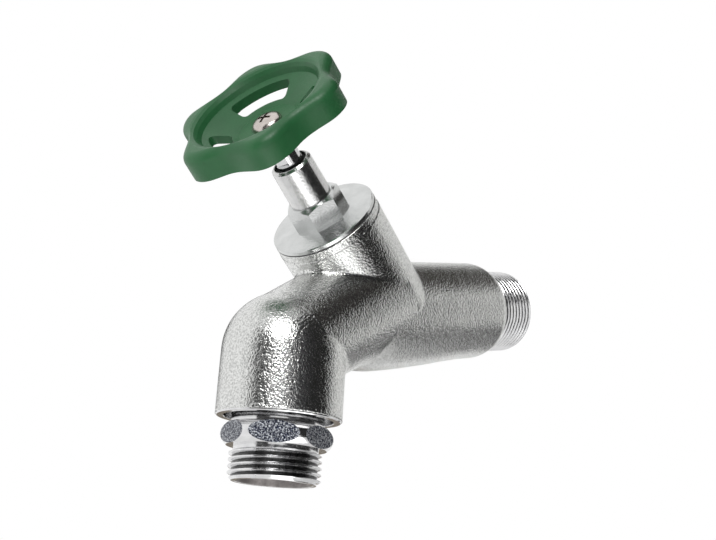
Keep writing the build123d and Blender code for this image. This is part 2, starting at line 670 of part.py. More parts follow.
def nipple_ring():
    centre_radius = NIPPLE_RING_GROOVE_FLOOR + NIPPLE_RING_WIRE + 0.02
    return seal_ring(NIPPLE_RING_WIRE, centre_radius, NIPPLE_RING_HEIGHT)


# Backflow check
poppet_high = CHECK_SEAT_LOW + POPPET_SEAL_HEIGHT + FACE_GAP
poppet_low = poppet_high + POPPET_HEAD_HEIGHT
guide_high = GUIDE_RING_LOW - GUIDE_RING_HEIGHT


def check_housing():
    shell = turned([
        (CARTRIDGE_INNER, cartridge_low - FACE_GAP),
        (CARTRIDGE_RADIUS, cartridge_low - FACE_GAP),
        (CARTRIDGE_RADIUS, CARTRIDGE_TOP),
        (CHECK_SEAT_RADIUS + 1.5, CARTRIDGE_TOP),
        (CHECK_SEAT_RADIUS, CARTRIDGE_TOP + 1.5),
        (CHECK_SEAT_RADIUS, CHECK_SEAT_LOW),
        (CARTRIDGE_INNER, CHECK_SEAT_LOW),
    ])
    half = CHECK_RING_GROOVE_WIDTH / 2
    groove = tube(
        CARTRIDGE_RADIUS + 1, CHECK_RING_GROOVE_FLOOR, CHECK_RING_HEIGHT - half, CHECK_RING_HEIGHT + half
    )
    return shell - groove


def check_housing_ring():
    return seal_ring(CHECK_RING_WIRE, CHECK_RING_GROOVE_FLOOR + CHECK_RING_WIRE + 0.01, CHECK_RING_HEIGHT)


def check_guide():
    """The spider snapped into the housing, with a hub for the poppet's stem."""
    outer = CARTRIDGE_INNER - RUNNING_GAP
    spider = tube(outer, GUIDE_RING_INNER, guide_high, GUIDE_RING_LOW)
    stem_hole = POPPET_STEM_RADIUS + RUNNING_GAP
    spider += tube(GUIDE_HUB_RADIUS, stem_hole, guide_high, GUIDE_RING_LOW)
    for index in range(GUIDE_SPOKES):
        length = GUIDE_RING_INNER + 0.5 - GUIDE_HUB_RADIUS
        spoke = Pos(GUIDE_HUB_RADIUS - 0.3 + length / 2, 0, (guide_high + GUIDE_RING_LOW) / 2) * Box(
            length, GUIDE_SPOKE_WIDTH, GUIDE_RING_HEIGHT
        )
        spider += Rot(0, 0, index * 360 / GUIDE_SPOKES) * spoke
    return spider


def check_poppet():
    return turned([
        (0, poppet_high - POPPET_SEAL_HEIGHT - 1.2),
        (2.0, poppet_high - POPPET_SEAL_HEIGHT - 0.8),
        (POPPET_SEAL_INNER - RUNNING_GAP, poppet_high - POPPET_SEAL_HEIGHT),
        (POPPET_SEAL_INNER - RUNNING_GAP, poppet_high),
        (POPPET_RADIUS, poppet_high),
        (POPPET_RADIUS, poppet_high + 0.8),
        (SPRING_COIL_RADIUS + 1.2, poppet_low),
        (POPPET_STEM_RADIUS, poppet_low),
        (POPPET_STEM_RADIUS, POPPET_STEM_END),
        (0, POPPET_STEM_END),
    ])


def poppet_seal():
    return tube(POPPET_RADIUS, POPPET_SEAL_INNER, poppet_high - POPPET_SEAL_HEIGHT, poppet_high)


def least_coil_gap(coil):
    """The least clear gap between points of the coil that lie half a turn or more apart."""
    per_turn = 24
    count = per_turn * SPRING_TURNS
    points = [coil @ (step / count) for step in range(count + 1)]
    spans = []
    for first in range(count + 1):
        for second in range(first + per_turn // 2, count + 1):
            spans.append((points[first] - points[second]).length)
    return min(spans) - 2 * SPRING_WIRE


def check_spring():
    """A coil of hexagonal wire between the poppet and the spider, clear of both."""
    low = poppet_low + SPRING_WIRE + RUNNING_GAP
    high = guide_high - SPRING_WIRE - RUNNING_GAP
    pitch = (high - low) / SPRING_TURNS
    coil = Helix(pitch=pitch, height=high - low, radius=SPRING_COIL_RADIUS)
    print("check_spring: least gap between its turns", round(least_coil_gap(coil), 2), "mm")
    start = Plane(origin=coil @ 0, z_dir=coil % 0)
    return Pos(0, 0, low) * sweep(start * RegularPolygon(SPRING_WIRE, 6), path=coil)


# All the pieces, one file each
on_bonnet = {
    "bonnet": bonnet(),
    "bonnet_seal": bonnet_seal(),
    "gland_sleeve": gland_sleeve(),
    "thrust_washer": thrust_washer(),
    "spindle": spindle(),
    "spindle_ring_lower": stem_ring(RING_GROOVES[0]),
    "spindle_ring_upper": stem_ring(RING_GROOVES[1]),
    "spindle_snap_ring": spindle_snap_ring(),
    "disc_holder": disc_holder(),
    "disc_washer": disc_washer(),
    "disc_screw": disc_screw(),
    "handwheel": handwheel(),
    "wheel_screw": wheel_screw(),
}
on_outlet = {
    "outlet_nipple": outlet_nipple(),
    "nipple_ring": nipple_ring(),
    "check_housing": check_housing(),
    "check_housing_ring": check_housing_ring(),
    "check_guide": check_guide(),
    "check_poppet": check_poppet(),
    "poppet_seal": poppet_seal(),
    "check_spring": check_spring(),
}

os.makedirs("parts", exist_ok=True)
export_step(tap_body(), "parts/tap_body.step")
for name, shape in on_bonnet.items():
    export_step(bonnet_frame.location * shape, f"parts/{name}.step")
for name, shape in on_outlet.items():
    export_step(outlet_frame.location * shape, f"parts/{name}.step")
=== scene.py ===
import bpy
import bmesh
import math
import numpy as np
from mathutils import Matrix, Vector


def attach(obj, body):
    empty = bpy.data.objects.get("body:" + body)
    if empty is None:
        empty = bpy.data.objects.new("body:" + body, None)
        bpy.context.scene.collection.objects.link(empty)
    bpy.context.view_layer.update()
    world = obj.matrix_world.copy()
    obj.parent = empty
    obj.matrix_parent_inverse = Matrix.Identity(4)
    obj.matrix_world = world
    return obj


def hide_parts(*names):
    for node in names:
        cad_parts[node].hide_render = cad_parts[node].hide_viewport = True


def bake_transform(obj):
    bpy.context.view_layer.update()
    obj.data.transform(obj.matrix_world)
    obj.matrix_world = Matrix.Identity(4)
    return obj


# Looks of the bib tap. Lengths of the pieces are in millimetres, in the same three local
# frames as the CAD source; MM turns them into the frame's metres.
MM = 0.001
BONNET_CROSSING = 67.5
BONNET_TILT = math.radians(41)
OUTLET_DISTANCE = 110.9
OUTLET_TILT = math.radians(12)

# Threads and turned pieces
THREAD_RADIUS = 13.22
THREAD_PITCH = 1.814
THREAD_DEPTH = 1.16
THREAD_COLUMNS = 240
THREAD_ROWS = 18            # rows of points to one turn
TURNED_COLUMNS = 256

# Inlet and tube
INLET_END = 17.3
INLET_CHAMFER = 1.1
INLET_BORE = 9.3
INLET_BORE_CHAMFER = 0.3
INLET_FIRST_GROOVE = 0.75
INLET_SHADE_DEPTH = 0.5     # the grooves carry a painted shade below this depth
SHOULDER_END = 21.8
SHOULDER_TAPER = 25         # length behind the shoulder over which the tube gets its full size
SHOULDER_SLIMMER = 0.25
SHOULDER_RISE = 0.3
TUBE_RADIUS = 15.8
BELLY_START = 25            # from the inlet's end, where the tube's underside begins to drop
BELLY_SHIFT = 6.5
BELLY_DROP = 1.9
BELLY_LENGTH = 32.8

# Neck
NECK_ROOT_RADIUS = 16.0
NECK_TOP = 36.0
NECK_TOP_RADIUS = 16.6
NECK_BAND_LOW = 33.6
NECK_BAND_RADIUS = 16.45
NECK_BAND_WALL = 1.5
NECK_BLEND = 0.7

# Snout and spout
SNOUT_START = 5.6
SNOUT_START_RADIUS = 16.8
SNOUT_END_RADIUS = 17.4
SNOUT_FLATTEN = 4.6
KNEE = 11.6
KNEE_RADIUS = 17.8
SPOUT_RADIUS = 17.95
SPOUT_DRAFT = 0.1           # what the skin's spout is wider at its mouth than its lip
SPOUT_END = 30.4
BEND_BLEND = 3.5
TRUNK_BLEND = 4.0
NO_BLEND = 1e-3             # the least width, for forms that run into each other without an edge
LIP_START = 29.95
COUNTERBORE = 15.6
COUNTERBORE_FLOOR = 27.2
COLLAR_BORE = 13.25

# Skin of the casting
SKIN_VOXEL = 0.35
SKIN_REACH = 1.8            # points this near the blended forms are drawn onto them
SKIN_STEPS = 8
SKIN_STEP = 0.5             # the furthest that one step moves a point
SKIN_DRAWN_BACK = 0.5       # from the ends where turned pieces are seen
END_REACH = 20              # the skin's points this near an axis belong to its end
NECK_REACH = 19

# Nipple
HEX_LOW = 32.4
HEX_HIGH = 38.6
HEX_APOTHEM = 14.25
HEX_CORNER = 15.95
HEX_TURN = 52.7             # degrees from the outlet's local x to the middle of a flat
HEX_ROWS = 49
FLAT_COLUMNS = 25
CORNER_COLUMNS = 7
COLLAR_RADIUS = 13.2
CORE_RADIUS = 11.3          # of the CAD nipple, where the cut thread is seen instead
MOUTH_RADIUS = 10.3         # a little more than the bore's own
THREAD_BORE = 11.0
RELIEF_RADIUS = 12.05
RELIEF_END = 39.6
NIPPLE_END = 48.4
NIPPLE_CREST = 40.43        # the first crest, on the side that the photograph shows
CAMERA_SIDE = 51.2          # degrees from the outlet's local x to the camera
END_CHAMFER = 1.2
NIPPLE_SHADE_DEPTH = 1.05

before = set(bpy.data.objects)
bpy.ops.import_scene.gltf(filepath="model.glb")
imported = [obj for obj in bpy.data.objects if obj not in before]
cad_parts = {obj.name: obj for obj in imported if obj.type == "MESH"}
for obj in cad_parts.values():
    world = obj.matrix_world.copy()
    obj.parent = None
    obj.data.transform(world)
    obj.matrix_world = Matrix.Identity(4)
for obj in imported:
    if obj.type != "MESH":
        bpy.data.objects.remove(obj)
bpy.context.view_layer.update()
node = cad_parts


# Local frames and mesh helpers
def local_frame(origin, z_dir):
    z = np.array(z_dir, float)
    x = np.array((1.0, 0.0, 0.0))
    return np.array(origin, float), np.array((x, np.cross(z, x), z))


INLET = local_frame((0, 0, 0), (0, -1, 0))
BONNET = local_frame((0, -BONNET_CROSSING, 0), (0, -math.sin(BONNET_TILT), math.cos(BONNET_TILT)))
OUTLET = local_frame((0, -OUTLET_DISTANCE, 0), (0, -math.sin(OUTLET_TILT), -math.cos(OUTLET_TILT)))


def to_row(points, where):
    origin, axes = where
    return origin + points @ axes


def to_local(points, where):
    origin, axes = where
    return (points - origin) @ axes.T


def get_points(mesh):
    flat = np.zeros(len(mesh.vertices) * 3)
    mesh.vertices.foreach_get("co", flat)
    return flat.reshape(-1, 3) / MM


def set_points(mesh, points):
    mesh.vertices.foreach_set("co", (points * MM).reshape(-1))
    mesh.update()


def smooth_with_sharp_edges(mesh, degrees):
    work = bmesh.new()
    work.from_mesh(mesh)
    bmesh.ops.remove_doubles(work, verts=work.verts, dist=1e-6)
    bmesh.ops.recalc_face_normals(work, faces=work.faces)
    work.to_mesh(mesh)
    work.free()
    mesh.shade_smooth()
    mesh.set_sharp_from_angle(angle=math.radians(degrees))


def add_piece(name, mesh, body, replaced, materials):
    """Puts a finished mesh into the scene, on its body and in place of its CAD node."""
    piece = bpy.data.objects.new(name, mesh)
    bpy.context.scene.collection.objects.link(piece)
    for material in materials:
        mesh.materials.append(material)
    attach(piece, body)
    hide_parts(replaced)
    return piece


def ring_mesh(name, radii, heights, where, sharp=30, angle=None):
    """A closed ring from rows of radii, rows by columns; the last row joins the first."""
    rows, columns = radii.shape
    if angle is None:
        angle = np.arange(columns) * 2 * math.pi / columns
    height = np.broadcast_to(np.asarray(heights, float).reshape(rows, -1), radii.shape)
    points = np.stack((radii * np.cos(angle), radii * np.sin(angle), height), axis=2)
    faces = []
    for i in range(rows):
        this_row = i * columns
        next_row = (i + 1) % rows * columns
        for j in range(columns):
            k = (j + 1) % columns
            faces.append((this_row + j, this_row + k, next_row + k, next_row + j))
    mesh = bpy.data.meshes.new(name)
    mesh.from_pydata((to_row(points.reshape(-1, 3), where) * MM).tolist(), [], faces)
    smooth_with_sharp_edges(mesh, sharp)
    return mesh


def turned_mesh(name, profile, where, sharp=30):
    """A turned ring from a closed outline of (radius, height) corners."""
    profile = np.array(profile, float)
    radii = np.repeat(profile[:, :1], TURNED_COLUMNS, axis=1)
    return ring_mesh(name, radii, profile[:, 1], where, sharp)


# Cast skin: the CAD casting's surface, drawn onto softly blended forms
def oval_form(offsets, radii):
    """Signed distance of an oval or a round form, for points given from its middle."""
    steep = offsets / np.square(radii)
    slope = np.maximum(np.linalg.norm(steep, axis=1), 1e-6)
    size = np.linalg.norm(offsets / radii, axis=1)
    return size * (size - 1) / slope, steep / slope[:, None]


def cone_form(points, start, end, start_radius, end_radius, flatten=0.0):
    """Signed distance of a capped cone and its outward direction at each point.

    The cone lies in the tap's middle plane; flatten is what its end loses on the underside.
    """
    length = np.linalg.norm(end - start)
    direction = (end - start) / length
    across = np.array((1.0, 0.0, 0.0))
    up = np.cross(direction, across)
    height = (points - start) @ direction
    share = np.clip(height / length, 0, 1)
    radius = start_radius + (end_radius - start_radius) * share
    rise = flatten / 2 * share
    offsets = np.stack(((points - start) @ across, (points - start) @ up - rise), axis=1)
    gap, outward = oval_form(offsets, np.stack((radius, radius - rise), axis=1))
    ends = np.maximum(-height, height - length)
    return np.maximum(gap, ends), outward @ np.stack((across, up))


def blend_forms(one, two, width):
    """The union of two forms, rounded only where their surfaces meet at an angle."""
    apart = np.clip((1 - np.sum(one[1] * two[1], axis=1)) / 0.4, 0, 1)
    width = width * apart * apart * (3 - 2 * apart) + NO_BLEND
    share = np.clip(0.5 + 0.5 * (two[0] - one[0]) / width, 0, 1)
    gap = two[0] * (1 - share) + one[0] * share - width * share * (1 - share)
    outward = two[1] * (1 - share)[:, None] + one[1] * share[:, None]
    return gap, outward / np.maximum(np.linalg.norm(outward, axis=1), 1e-6)[:, None]


def inlet_form(points):
    """The tube with its rounded shoulder behind the thread."""
    local = to_local(points, INLET)
    height = local[:, 2]
    end = BONNET_CROSSING + BELLY_SHIFT
    into = np.clip((SHOULDER_END - height) / (SHOULDER_END - INLET_END), 0, 1)
    taper = np.clip((height - SHOULDER_END) / SHOULDER_TAPER, 0, 1)
    crest = TUBE_RADIUS - SHOULDER_SLIMMER * (1 - taper)
    radius = THREAD_RADIUS + (crest - THREAD_RADIUS) * np.sqrt(np.clip(1 - into * into, 0, 1))
    side = local.copy()
    side[:, 1] -= SHOULDER_RISE * (1 - taper) * (1 - into)
    side[:, 2] = 0
    distance = np.linalg.norm(side, axis=1)
    outward = (side / np.maximum(distance, 1e-6)[:, None]) @ INLET[1]
    ends = np.maximum(INLET_END - height, height - end)
    return np.maximum(distance - radius, ends), outward


def trunk_form(points):
    """The tube and its rounded end, whose underside hangs lower towards the chamber."""
    middle = np.array((0, -BONNET_CROSSING - BELLY_SHIFT, 0))
    share = np.clip((points[:, 1] + BELLY_START) / (middle[1] + BELLY_START), 0, 1)
    squeeze = TUBE_RADIUS / (TUBE_RADIUS + BELLY_DROP * share * share * (3 - 2 * share))
    level = points.copy()
    level[:, 2] *= np.where(points[:, 2] < 0, squeeze, 1.0)
    rounded_end = oval_form(level - middle, np.array((TUBE_RADIUS, BELLY_LENGTH, TUBE_RADIUS)))
    return blend_forms(inlet_form(level), rounded_end, NO_BLEND)


def casting_form(points):
    """Signed distance of the whole cast outside and its outward direction."""
    knee = to_row(np.array((0, 0, KNEE)), OUTLET)
    snout_start = to_row(np.array((0, 0, SNOUT_START)), BONNET)
    snout = cone_form(
        points, snout_start, knee, SNOUT_START_RADIUS, SNOUT_END_RADIUS, SNOUT_FLATTEN
    )
    ball = oval_form(points - knee, np.full(3, KNEE_RADIUS))
    mouth = to_row(np.array((0, 0, SPOUT_END)), OUTLET)
    spout = cone_form(points, knee, mouth, KNEE_RADIUS, SPOUT_RADIUS + SPOUT_DRAFT)
    bend = blend_forms(snout, blend_forms(ball, spout, NO_BLEND), BEND_BLEND)
    neck_top = to_row(np.array((0, 0, NECK_TOP)), BONNET)
    neck = cone_form(points, BONNET[0], neck_top, NECK_ROOT_RADIUS, NECK_TOP_RADIUS)
    return blend_forms(blend_forms(trunk_form(points), bend, TRUNK_BLEND), neck, NECK_BLEND)


def set_radius(local, chosen, radius):
    """Moves the chosen local points to these distances from the local z axis."""
    now = np.maximum(np.linalg.norm(local[:, :2], axis=1), 1e-6)
    factor = np.where(chosen, radius / now, 1.0)
    local[:, :2] *= factor[:, None]
    return local


def sink_under_turned_ends(points):
    """Draws the skin's mouths inside the turned pieces that are seen there instead."""
    thread_core = THREAD_RADIUS - THREAD_DEPTH - 0.2
    lip_middle = COUNTERBORE + 0.6
    local = to_local(points, INLET)
    radius = np.linalg.norm(local[:, :2], axis=1)
    near = (local[:, 2] < INLET_END) & (radius < END_REACH)
    local = set_radius(local, near, np.clip(radius, INLET_BORE + 0.4, thread_core))
    local[:, 2] = np.where(near, np.maximum(local[:, 2], SKIN_DRAWN_BACK), local[:, 2])
    local = to_local(to_row(local, INLET), OUTLET)
    radius = np.linalg.norm(local[:, :2], axis=1)
    inner = (local[:, 2] > COUNTERBORE_FLOOR - 0.7) & (radius < lip_middle)
    local = set_radius(local, inner, lip_middle)
    outer = (local[:, 2] > LIP_START) & (radius > lip_middle) & (radius < END_REACH)
    local = set_radius(local, outer, np.minimum(radius, SPOUT_RADIUS - 0.55))
    mouth = SPOUT_END - SKIN_DRAWN_BACK
    local[:, 2] = np.where(inner | outer, np.minimum(local[:, 2], mouth), local[:, 2])
    local = to_local(to_row(local, OUTLET), BONNET)
    radius = np.linalg.norm(local[:, :2], axis=1)
    near = (local[:, 2] > NECK_BAND_LOW) & (radius < NECK_REACH)
    local = set_radius(local, near, np.minimum(radius, NECK_BAND_RADIUS - 0.35))
    top = NECK_TOP - SKIN_DRAWN_BACK
    local[:, 2] = np.where(near, np.minimum(local[:, 2], top), local[:, 2])
    return to_row(local, BONNET)


def cast_skin(material):
    """A fine, even mesh of the casting, its outside drawn onto the blended forms."""
    source = bpy.data.objects.new("skin_source", node["tap_body"].data.copy())
    bpy.context.scene.collection.objects.link(source)
    remesh = source.modifiers.new("remesh", "REMESH")
    remesh.mode = "VOXEL"
    remesh.voxel_size = SKIN_VOXEL * MM
    solid = source.evaluated_get(bpy.context.evaluated_depsgraph_get())
    mesh = bpy.data.meshes.new_from_object(solid)
    bpy.data.objects.remove(source)
    mesh.materials.clear()
    points = get_points(mesh)
    outside = np.abs(casting_form(points)[0]) < SKIN_REACH
    moved = points[outside]
    for step in range(SKIN_STEPS):
        gap, outward = casting_form(moved)
        moved = moved - np.clip(gap, -SKIN_STEP, SKIN_STEP)[:, None] * outward
    points[outside] = moved
    set_points(mesh, sink_under_turned_ends(points))
    mesh.shade_smooth()
    return add_piece("cast_skin", mesh, "tap", "tap_body", [material])


# Turned ends of the casting
def groove(turns):
    """Depth of a rounded 55 degree thread, 0 at the crests and 1 where turns is whole."""
    to_root = np.abs(turns - np.round(turns)) * 2
    depth = np.clip(1.25 - 1.5 * to_root, 0, 1)
    return 0.6 * depth + 0.4 * depth * depth * (3 - 2 * depth)


def threaded_mesh(name, start, end, first_groove, envelope, rest, where):
    """A turned ring with a right-hand thread, whose rows of points climb with the thread.

    Rows are held at the piece's two ends; rest closes the ring, as (radius, height) corners.
    """
    step = THREAD_PITCH / THREAD_ROWS
    rows = int((end - start) / step) + THREAD_ROWS + 2
    turn = np.arange(THREAD_COLUMNS) / THREAD_COLUMNS
    climb = start - THREAD_PITCH + step * np.arange(rows)[:, None] + THREAD_PITCH * turn
    height = np.clip(climb, start, end)
    depth = THREAD_DEPTH * groove((height - first_groove) / THREAD_PITCH - turn)
    radius = np.minimum(THREAD_RADIUS - depth, envelope(height))
    rest = np.array(rest, float)[:, :, None] + np.zeros(THREAD_COLUMNS)
    radius = np.concatenate((radius, rest[:, 0]))
    height = np.concatenate((height, rest[:, 1]))
    around = 2 * math.pi * turn
    points = np.stack((radius * np.cos(around), radius * np.sin(around), height), axis=2)
    index = np.arange(radius.size).reshape(radius.shape)
    below = np.roll(index, -1, axis=0)
    seam_rows = rows - 1 - THREAD_ROWS
    quads = [np.stack((index[:, :-1], index[:, 1:], below[:, 1:], below[:, :-1]), axis=2).reshape(-1, 4)]
    for first, last, shift in ((0, seam_rows, THREAD_ROWS), (rows - 1, len(index), 0)):
        this_side, other_side = slice(first, last), np.arange(first, last) + shift
        quads.append(np.stack((
            index[this_side, -1], index[other_side, 0], below[other_side, 0], below[this_side, -1]
        ), axis=1))
    points = to_row(points.reshape(-1, 3), where) * MM
    mesh = bpy.data.meshes.new(name)
    mesh.from_pydata(points.tolist(), [], np.concatenate(quads).tolist())
    smooth_with_sharp_edges(mesh, 35)
    return mesh


def face_places(mesh, where):
    """Each face with its middle's distance from the local z axis and its height along it."""
    for face in mesh.polygons:
        x, y, height = to_local(np.array(face.center) / MM, where)
        yield face, math.hypot(x, y), height


def mark_groove_shade(mesh, where, start, end, depth):
    """Gives what lies deeper than this in the thread's grooves the second material, a painted shade."""
    root = THREAD_RADIUS - THREAD_DEPTH - 0.1
    for face, radius, height in face_places(mesh, where):
        deep = root < radius < THREAD_RADIUS - depth and start < height < end
        face.material_index = 1 if deep else 0


def inlet_end(turned, groove_shade):
    """The threaded inlet end with its chamfered mouth and bore."""
    rest = [
        (THREAD_RADIUS - 0.6, INLET_END + 0.6),
        (INLET_BORE + 1.1, INLET_END + 0.6),
        (INLET_BORE, INLET_END - 0.1),
        (INLET_BORE, INLET_BORE_CHAMFER),
        (INLET_BORE + INLET_BORE_CHAMFER, 0),
    ]
    mesh = threaded_mesh(
        "inlet_end", 0, INLET_END, INLET_FIRST_GROOVE,
        lambda height: THREAD_RADIUS - INLET_CHAMFER + height, rest, INLET,
    )
    # painted shade: the inlet thread's grooves are darkened below this depth
    mark_groove_shade(mesh, INLET, 0, INLET_END, INLET_SHADE_DEPTH)
    return add_piece("inlet_end", mesh, "tap", "tap_body", [turned, groove_shade])


def spout_lip(material):
    """The turned ring at the spout's mouth, with the counterbore that the collar sits in."""
    profile = [
        (SPOUT_RADIUS - 0.9, LIP_START - 0.8),
        (SPOUT_RADIUS - 0.02, LIP_START - 0.1),
        (SPOUT_RADIUS, LIP_START + 0.2),
        (SPOUT_RADIUS - 0.1, SPOUT_END - 0.35),
        (SPOUT_RADIUS - 0.4, SPOUT_END),
        (COUNTERBORE + 0.1, SPOUT_END),
        (COUNTERBORE, SPOUT_END - 0.15),
        (COUNTERBORE, COUNTERBORE_FLOOR),
        (COLLAR_BORE, COUNTERBORE_FLOOR),
        (COLLAR_BORE, COUNTERBORE_FLOOR - 1.2),
        (SPOUT_RADIUS - 2, COUNTERBORE_FLOOR - 1.2),
    ]
    mesh = turned_mesh("spout_lip", profile, OUTLET)
    return add_piece("spout_lip", mesh, "tap", "tap_body", [material])


def neck_band(material):
    """The turned band under the bonnet's seal."""
    profile = [
        (NECK_BAND_RADIUS - NECK_BAND_WALL, NECK_BAND_LOW - 0.8),
        (NECK_BAND_RADIUS - 0.4, NECK_BAND_LOW - 0.3),
        (NECK_BAND_RADIUS, NECK_BAND_LOW),
        (NECK_BAND_RADIUS, NECK_TOP - 0.12),
        (NECK_BAND_RADIUS - 0.12, NECK_TOP),
        (NECK_BAND_RADIUS - NECK_BAND_WALL, NECK_TOP),
    ]
    mesh = turned_mesh("neck_band", profile, BONNET)
    return add_piece("neck_band", mesh, "tap", "tap_body", [material])


# Outlet nipple
def nipple_core(turned, bore_shade):
    """The CAD nipple, sunk where the hexagon and the cut thread are seen instead."""
    mesh = node["outlet_nipple"].data.copy()
    mesh.materials.clear()
    local = to_local(get_points(mesh), OUTLET)
    radius = np.linalg.norm(local[:, :2], axis=1)
    hexagon = (local[:, 2] > HEX_LOW - 0.05) & (radius > COLLAR_RADIUS + 0.02)
    local = set_radius(local, hexagon, COLLAR_RADIUS)
    below = (local[:, 2] > HEX_HIGH - 0.05) & (radius > CORE_RADIUS)
    local = set_radius(local, below, CORE_RADIUS)
    local[:, 2] = np.where(hexagon, HEX_LOW + 0.3, local[:, 2])
    local[:, 2] = np.where(below, np.minimum(local[:, 2], NIPPLE_END - 0.1), local[:, 2])
    set_points(mesh, to_row(local, OUTLET))
    smooth_with_sharp_edges(mesh, 20)
    # painted shade: the bore beyond the hexagon gets the darker bore material
    for face, radius, height in face_places(mesh, OUTLET):
        face.material_index = 1 if height > HEX_HIGH and radius < MOUTH_RADIUS else 0
    return add_piece("nipple_core", mesh, "tap", "outlet_nipple", [turned, bore_shade])


def nipple_hexagon(turned, flats):
    """Six milled flats on a barrel; the mesh's columns follow each flat's oval outline."""
    middle, half_height = (HEX_LOW + HEX_HIGH) / 2, (HEX_HIGH - HEX_LOW) / 2
    around = np.radians(np.linspace(-90, 90, HEX_ROWS))
    barrel = np.sqrt(HEX_APOTHEM ** 2 + (HEX_CORNER ** 2 - HEX_APOTHEM ** 2) * np.cos(around) ** 2)
    flat_reach = np.arccos(HEX_APOTHEM / barrel)
    radii, angles = [], []
    for radius, reach in zip(barrel, flat_reach):
        on_flat = np.linspace(-reach, reach, FLAT_COLUMNS)
        on_barrel = np.linspace(reach, math.radians(60) - reach, CORNER_COLUMNS + 2)[1:-1]
        sector_radii = np.concatenate(
            (HEX_APOTHEM / np.cos(on_flat), np.full(CORNER_COLUMNS, radius))
        )
        radii.append(np.tile(sector_radii, 6))
        sector = np.concatenate((on_flat, on_barrel))
        angles.append(np.concatenate([sector + math.radians(HEX_TURN + 60 * k) for k in range(6)]))
    for last in (-1, 0):
        radii.append(np.full(len(angles[0]), RELIEF_RADIUS - 0.15))
        angles.append(angles[last])
    heights = np.concatenate((middle + half_height * np.sin(around), (HEX_HIGH, HEX_LOW)))
    mesh = ring_mesh("nipple_hexagon", np.array(radii), heights, OUTLET, 20, np.array(angles))
    for face in mesh.polygons:
        centre = to_local(np.array(face.center) / MM, OUTLET)
        direction = OUTLET[1] @ np.array(face.normal)
        apothem = centre[0] * direction[0] + centre[1] * direction[1]
        milled = abs(direction[2]) < 0.01 and abs(apothem - HEX_APOTHEM) < 0.02
        face.material_index = 1 if milled else 0
    return add_piece("nipple_hexagon", mesh, "tap", "outlet_nipple", [turned, flats])


def nipple_envelope(height):
    """The relief under the hexagon and the chamfer at the nipple's end."""
    relief = RELIEF_RADIUS + 2 * np.clip(height - RELIEF_END, 0, 2)
    return np.minimum(relief, THREAD_RADIUS - END_CHAMFER + NIPPLE_END - height)


def nipple_thread(turned, groove_shade, bore_shade):
    """The relief, thread and chamfered end of the nipple, with its bore."""
    first_groove = NIPPLE_CREST + THREAD_PITCH * (0.5 - CAMERA_SIDE / 360)
    start = HEX_HIGH - 0.2
    rest = [(THREAD_BORE + 0.3, NIPPLE_END), (THREAD_BORE, NIPPLE_END - 0.3), (THREAD_BORE, start)]
    mesh = threaded_mesh(
        "nipple_thread", start, NIPPLE_END, first_groove, nipple_envelope, rest, OUTLET
    )
    # painted shade: the nipple thread's grooves are darkened below this depth
    mark_groove_shade(mesh, OUTLET, RELIEF_END + 0.6, NIPPLE_END - 1.0, NIPPLE_SHADE_DEPTH)
    # painted shade: the thread's bore wall gets the darker bore material
    for face, radius, height in face_places(mesh, OUTLET):
        if radius < THREAD_BORE + 0.1:
            face.material_index = 2
    return add_piece("nipple_thread", mesh, "tap", "outlet_nipple", [turned, groove_shade, bore_shade])


# Spring of the check valve
def check_coil(material):
    """The CAD spring between the poppet and the guide, copied as it is with this material."""
    mesh = node["check_spring"].data.copy()
    mesh.materials.clear()
    mesh.materials.append(material)
    coil = bpy.data.objects.new("check_coil", mesh)
    bpy.context.scene.collection.objects.link(coil)
    heights = to_local(get_points(mesh), OUTLET)[:, 2]
    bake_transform(coil)
    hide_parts("check_spring")
    return coil


# Materials
class Look:
    """A material under construction: its node tree, its shader and its coordinates."""

    def __init__(self, name, roughness, metallic=0.0):
        self.material = bpy.data.materials.new(name)
        self.material.use_nodes = True
        self.nodes = self.material.node_tree.nodes
        self.links = self.material.node_tree.links
        self.shader = self.nodes["Principled BSDF"]
        self.shader.inputs["Roughness"].default_value = roughness
        self.shader.inputs["Metallic"].default_value = metallic
        self.place = self.nodes.new("ShaderNodeTexCoord").outputs["Object"]

    def noise(self, feature_mm, detail=2.0, roughness=0.5):
        """A noise whose blobs are about this wide."""
        texture = self.nodes.new("ShaderNodeTexNoise")
        texture.inputs["Scale"].default_value = 0.5 / (feature_mm * MM)
        texture.inputs["Detail"].default_value = detail
        texture.inputs["Roughness"].default_value = roughness
        self.links.new(self.place, texture.inputs["Vector"])
        return texture.outputs["Fac"]

    def ramp(self, value, stops):
        """Colours or greys along a value, from (position, colour) stops."""
        ramp = self.nodes.new("ShaderNodeValToRGB")
        elements = ramp.color_ramp.elements
        while len(elements) < len(stops):
            elements.new(0.5)
        for element, (position, colour) in zip(elements, stops):
            element.position = position
            element.color = (*colour, 1.0)
        self.links.new(value, ramp.inputs["Fac"])
        return ramp.outputs["Color"]

    def spread(self, value, low, high):
        """Maps the middle of a noise to a range of numbers."""
        node_map = self.nodes.new("ShaderNodeMapRange")
        node_map.inputs["From Min"].default_value = 0.3
        node_map.inputs["From Max"].default_value = 0.7
        node_map.inputs["To Min"].default_value = low
        node_map.inputs["To Max"].default_value = high
        self.links.new(value, node_map.inputs["Value"])
        return node_map.outputs["Result"]

    def bump(self, layers):
        """Relief from (value, height in mm) layers, one upon the other."""
        normal = None
        for value, height in layers:
            bump = self.nodes.new("ShaderNodeBump")
            bump.inputs["Distance"].default_value = height * MM
            self.links.new(value, bump.inputs["Height"])
            if normal:
                self.links.new(normal, bump.inputs["Normal"])
            normal = bump.outputs["Normal"]
        self.links.new(normal, self.shader.inputs["Normal"])

    def set(self, socket, value):
        self.links.new(value, self.shader.inputs[socket])


